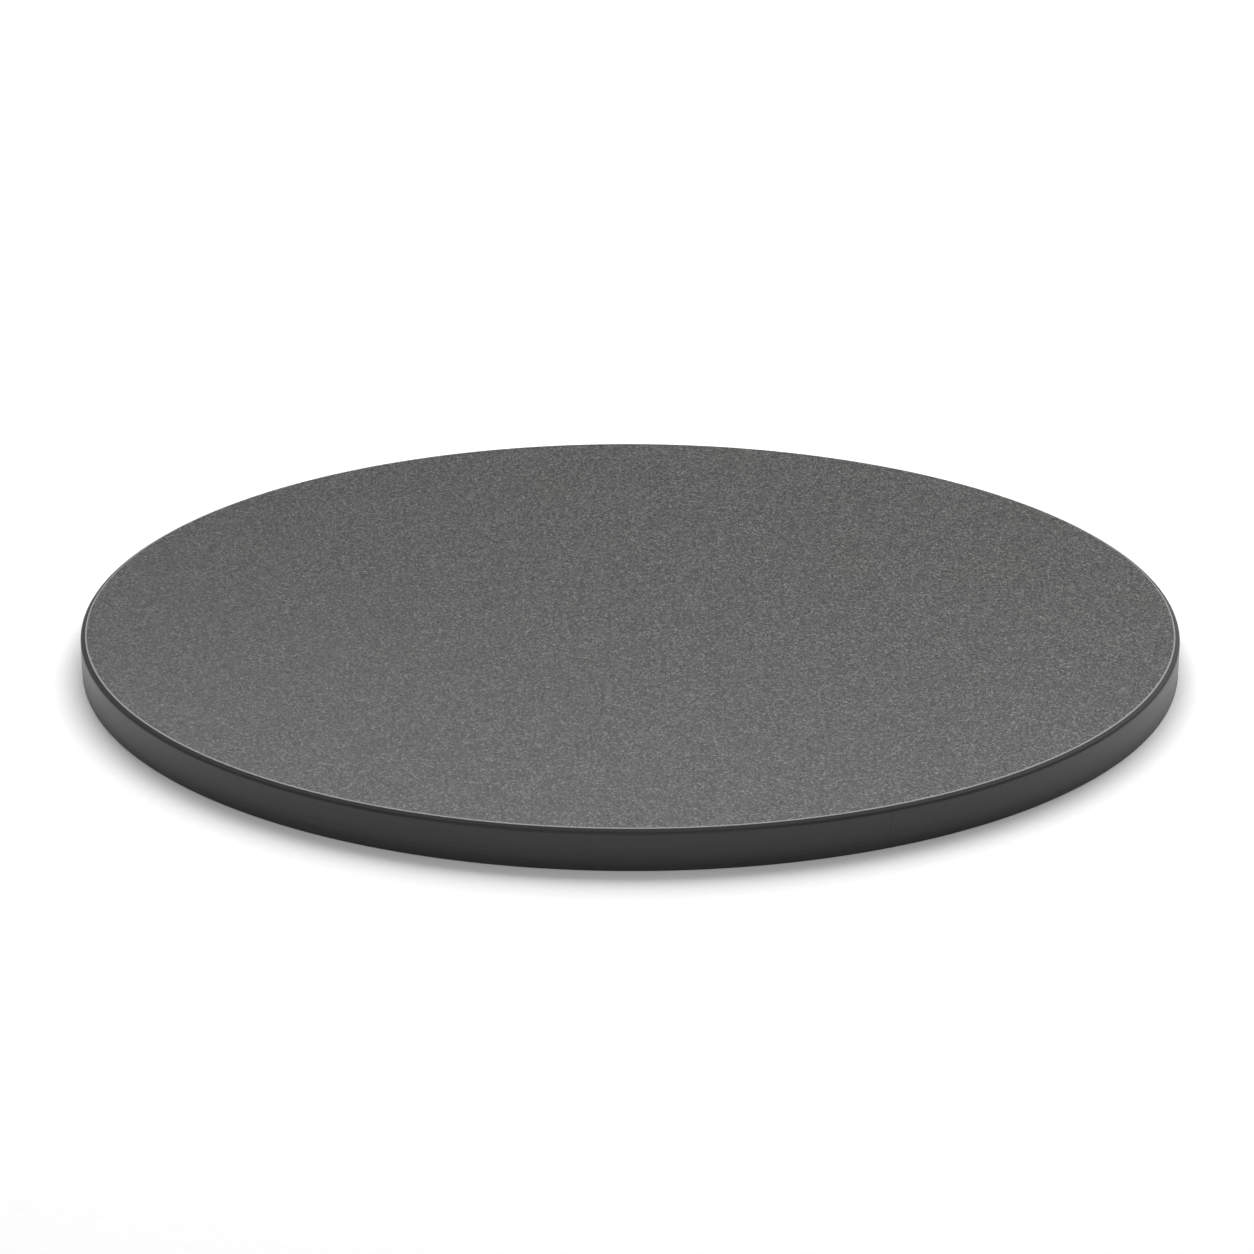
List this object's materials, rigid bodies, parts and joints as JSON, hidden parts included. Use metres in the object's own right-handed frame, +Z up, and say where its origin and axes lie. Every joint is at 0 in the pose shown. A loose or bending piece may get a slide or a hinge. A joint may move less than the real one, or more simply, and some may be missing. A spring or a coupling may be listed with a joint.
{
  "type": "round table top",
  "caption": "Round laminated table top in a dark grey stone decor with a plastic edge band and threaded inserts in its underside.",
  "frame": {"origin": "centre of the underside, on the surface the top lies on", "axes": "+Z up through the thickness, -Y towards the front, +X to the right seen from the front"},
  "size_m": [0.8, 0.8, 0.028],
  "materials": {
    "decor_laminate": "fine speckled stone decor, matt",
    "chipboard": "raw pressed chips",
    "backing_laminate": "plain, matt",
    "edge_band": "extruded, satin, fine lengthwise streaks",
    "insert": "zinc plated"
  },
  "bodies": {
    "root": {"top_laminate": "decor_laminate", "core_board": "chipboard", "backing_laminate": "backing_laminate", "edge_band": "edge_band", "threaded_insert_1": "insert", "threaded_insert_2": "insert", "threaded_insert_3": "insert", "threaded_insert_4": "insert"}
  },
  "joints": []
}
